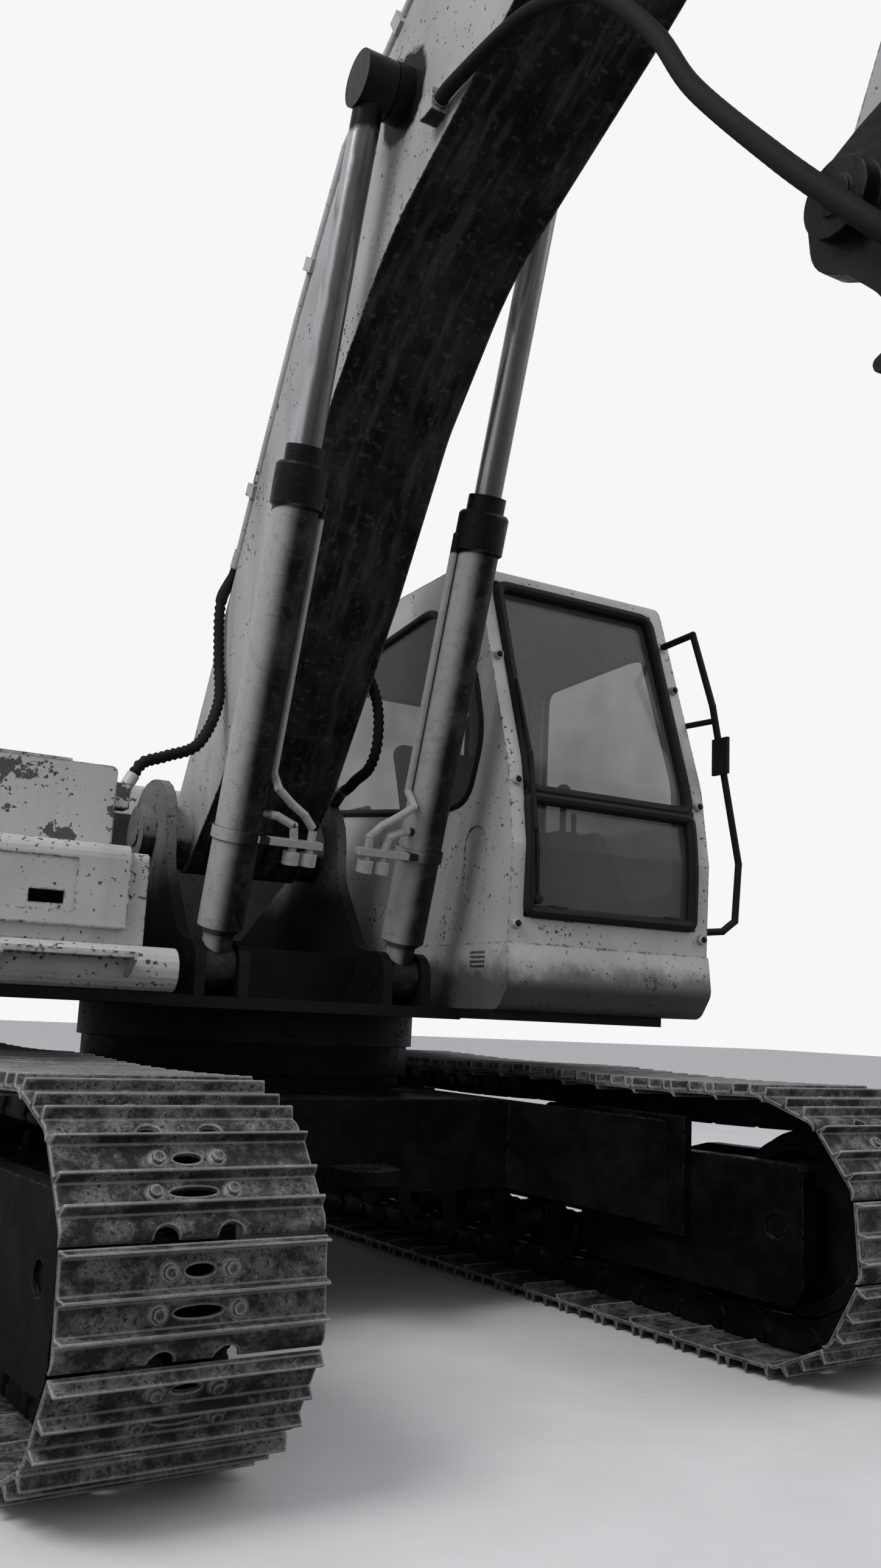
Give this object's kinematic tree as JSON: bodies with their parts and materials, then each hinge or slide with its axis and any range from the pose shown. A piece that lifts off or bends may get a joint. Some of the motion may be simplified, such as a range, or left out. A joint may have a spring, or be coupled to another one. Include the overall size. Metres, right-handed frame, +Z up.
{
  "type": "crawler excavator with hydraulic breaker",
  "caption": "Tracked excavator: swinging upper structure with cab and counterweight, bent boom, arm and hydraulic breaker, all on jointed pins and cylinders.",
  "frame": {"origin": "on the ground, under the swing centre", "axes": "+Z up; the cab and the boom look along -Y; +X is the machine's left, the cab's side. The tracks are turned 4.2 degrees about +Z under the upper structure, as in the picture."},
  "size_m": [3.3327, 8.1884, 6.0874],
  "materials": {
    "undercarriage_paint": "dark greasy paint",
    "track_steel": "rusty, worn bright on the grousers",
    "wheel_steel": "dark, oily",
    "machine_paint": "weathered light paint with rust specks",
    "frame_paint": "dusty darker paint",
    "boom_paint": "weathered light paint, greasy near the pins",
    "cylinder_paint": "chalky paint with grease",
    "chrome_rod": "bright chrome with grease streaks",
    "cab_paint": "light paint with rust specks",
    "window_glass": "dusty clear glass",
    "black_trim": "matt black",
    "engine_iron": "dark",
    "tool_steel": "dark greasy steel",
    "breaker_steel": "worn dark paint",
    "chisel_steel": "dull forged steel",
    "seat_cloth": "dark cloth",
    "rubber": "matt black rubber"
  },
  "bodies": {
    "undercarriage": {"car_body": "undercarriage_paint", "track_frame_right": "undercarriage_paint", "track_frame_left": "undercarriage_paint", "track_right": "track_steel", "track_left": "track_steel", "idler_wheels": "wheel_steel", "sprocket_wheels": "wheel_steel", "lower_rollers": "wheel_steel", "upper_rollers": "wheel_steel", "swing_bearing": "wheel_steel"},
    "upper_structure": {"upper_frame": "frame_paint", "side_rails": "machine_paint", "counterweight": "machine_paint", "engine_block": "engine_iron", "hood_sides": "machine_paint", "fuel_tank": "machine_paint", "tool_box": "machine_paint", "exhaust_stack": "tool_steel", "cab_frame": "cab_paint", "cab_skirt": "cab_paint", "cab_glass": "window_glass", "operator_seat": "seat_cloth", "control_console": "black_trim", "cab_handrail": "black_trim"},
    "engine_hood": {"engine_hood": "machine_paint"},
    "right_service_door": {"right_service_door": "machine_paint"},
    "left_service_door": {"left_service_door": "machine_paint"},
    "tool_box_lid": {"tool_box_lid": "machine_paint"},
    "cab_door": {"cab_door": "cab_paint", "cab_door_glass": "window_glass"},
    "boom": {"boom": "boom_paint", "boom_pipes": "boom_paint", "right_foot_hose": "rubber", "left_foot_hose": "rubber", "breaker_hose": "rubber"},
    "boom_barrels": {"boom_barrels": "cylinder_paint"},
    "boom_rods": {"boom_rods": "chrome_rod"},
    "arm": {"arm": "boom_paint"},
    "arm_barrel": {"arm_barrel": "cylinder_paint"},
    "arm_rod": {"arm_rod": "chrome_rod"},
    "tool_barrel": {"tool_barrel": "cylinder_paint"},
    "tool_rod": {"tool_rod": "chrome_rod"},
    "tool_rocker": {"tool_rocker": "tool_steel"},
    "tool_link": {"tool_link": "tool_steel"},
    "breaker": {"breaker_bracket": "tool_steel", "breaker_body": "breaker_steel", "breaker_chisel": "chisel_steel"}
  },
  "joints": [
    {"name": "swing", "type": "hinge", "parent": "undercarriage", "child": "upper_structure", "pos_m": [0, 0, 0.94], "axis": [0, 0, 1], "continuous": true},
    {"name": "boom_lift", "type": "hinge", "parent": "upper_structure", "child": "boom", "pos_m": [-0.1, 0, 1.74], "axis": [-1, 0, 0], "range_deg": [-68.5, 12.8], "deforming": ["right_foot_hose", "left_foot_hose"]},
    {"name": "boom_barrel_tilt", "type": "hinge", "parent": "upper_structure", "child": "boom_barrels", "pos_m": [-0.1, -0.8, 1.2], "axis": [-1, 0, 0], "range_deg": [-73.86, 13.8]},
    {"name": "boom_rod_slide", "type": "slide", "parent": "boom_barrels", "child": "boom_rods", "axis": [0, -0.2939, 0.9558], "range_m": [-1.01945, 0.19058]},
    {"name": "arm_swing", "type": "hinge", "parent": "boom", "child": "arm", "pos_m": [-0.1, -4.58461, 5.37371], "axis": [1, 0, 0], "range_deg": [-112, 3], "deforming": ["breaker_hose"]},
    {"name": "arm_barrel_tilt", "type": "hinge", "parent": "boom", "child": "arm_barrel", "pos_m": [-0.1, -1.80163, 4.69916], "axis": [-1, 0, 0], "range_deg": [-0.25, 9.5]},
    {"name": "arm_rod_slide", "type": "slide", "parent": "arm_barrel", "child": "arm_rod", "axis": [0, -0.934, 0.3571], "range_m": [-1.28333, 0.03447]},
    {"name": "tool_turn", "type": "hinge", "parent": "arm", "child": "breaker", "pos_m": [-0.1, -3.5515, 2.61053], "axis": [-1, 0, 0], "range_deg": [-120, 8], "deforming": ["breaker_hose"]},
    {"name": "tool_barrel_tilt", "type": "hinge", "parent": "arm", "child": "tool_barrel", "pos_m": [-0.1, -5.06851, 4.84048], "axis": [-1, 0, 0], "range_deg": [-0.21, 3.13]},
    {"name": "tool_rod_slide", "type": "slide", "parent": "tool_barrel", "child": "tool_rod", "axis": [0, 0.4258, -0.9048], "range_m": [-0.0554, 0.82958]},
    {"name": "rocker_turn", "type": "hinge", "parent": "arm", "child": "tool_rocker", "pos_m": [-0.1, -3.75006, 3.02739], "axis": [-1, 0, 0], "range_deg": [-88.43, 5.9]},
    {"name": "link_turn", "type": "hinge", "parent": "breaker", "child": "tool_link", "pos_m": [-0.1, -3.9513, 2.76883], "axis": [-1, 0, 0], "range_deg": [-6.78, 101.77]},
    {"name": "cab_door_swing", "type": "hinge", "parent": "upper_structure", "child": "cab_door", "pos_m": [1.426, 0.0575, 2.04], "axis": [0, 0, 1], "range_deg": [0, 160]},
    {"name": "engine_hood_lift", "type": "hinge", "parent": "upper_structure", "child": "engine_hood", "pos_m": [0, 2.1497, 1.9603], "axis": [-1, 0, 0], "range_deg": [0, 62]},
    {"name": "right_door_swing", "type": "hinge", "parent": "upper_structure", "child": "right_service_door", "pos_m": [-1.416, 2.0275, 1.6], "axis": [0, 0, -1], "range_deg": [0, 110]},
    {"name": "left_door_swing", "type": "hinge", "parent": "upper_structure", "child": "left_service_door", "pos_m": [1.416, 2.0275, 1.6], "axis": [0, 0, 1], "range_deg": [0, 110]},
    {"name": "tool_box_lid_lift", "type": "hinge", "parent": "upper_structure", "child": "tool_box_lid", "pos_m": [-1.1275, -0.9, 1.546], "axis": [-1, 0, 0], "range_deg": [0, 80]}
  ],
  "couplings": [
    {"joint": "boom_barrel_tilt", "follows": "boom_lift", "ratio": 1.0777},
    {"joint": "boom_rod_slide", "follows": "boom_lift", "m_per_rad": 0.85219},
    {"joint": "arm_barrel_tilt", "follows": "arm_swing", "ratio": -0.084734},
    {"joint": "arm_rod_slide", "follows": "arm_swing", "m_per_rad": 0.65613},
    {"joint": "tool_barrel_tilt", "follows": "tool_turn", "ratio": -0.026031},
    {"joint": "tool_rod_slide", "follows": "tool_turn", "m_per_rad": -0.39585},
    {"joint": "rocker_turn", "follows": "tool_turn", "ratio": 0.73655},
    {"joint": "link_turn", "follows": "tool_turn", "ratio": -0.84763}
  ]
}
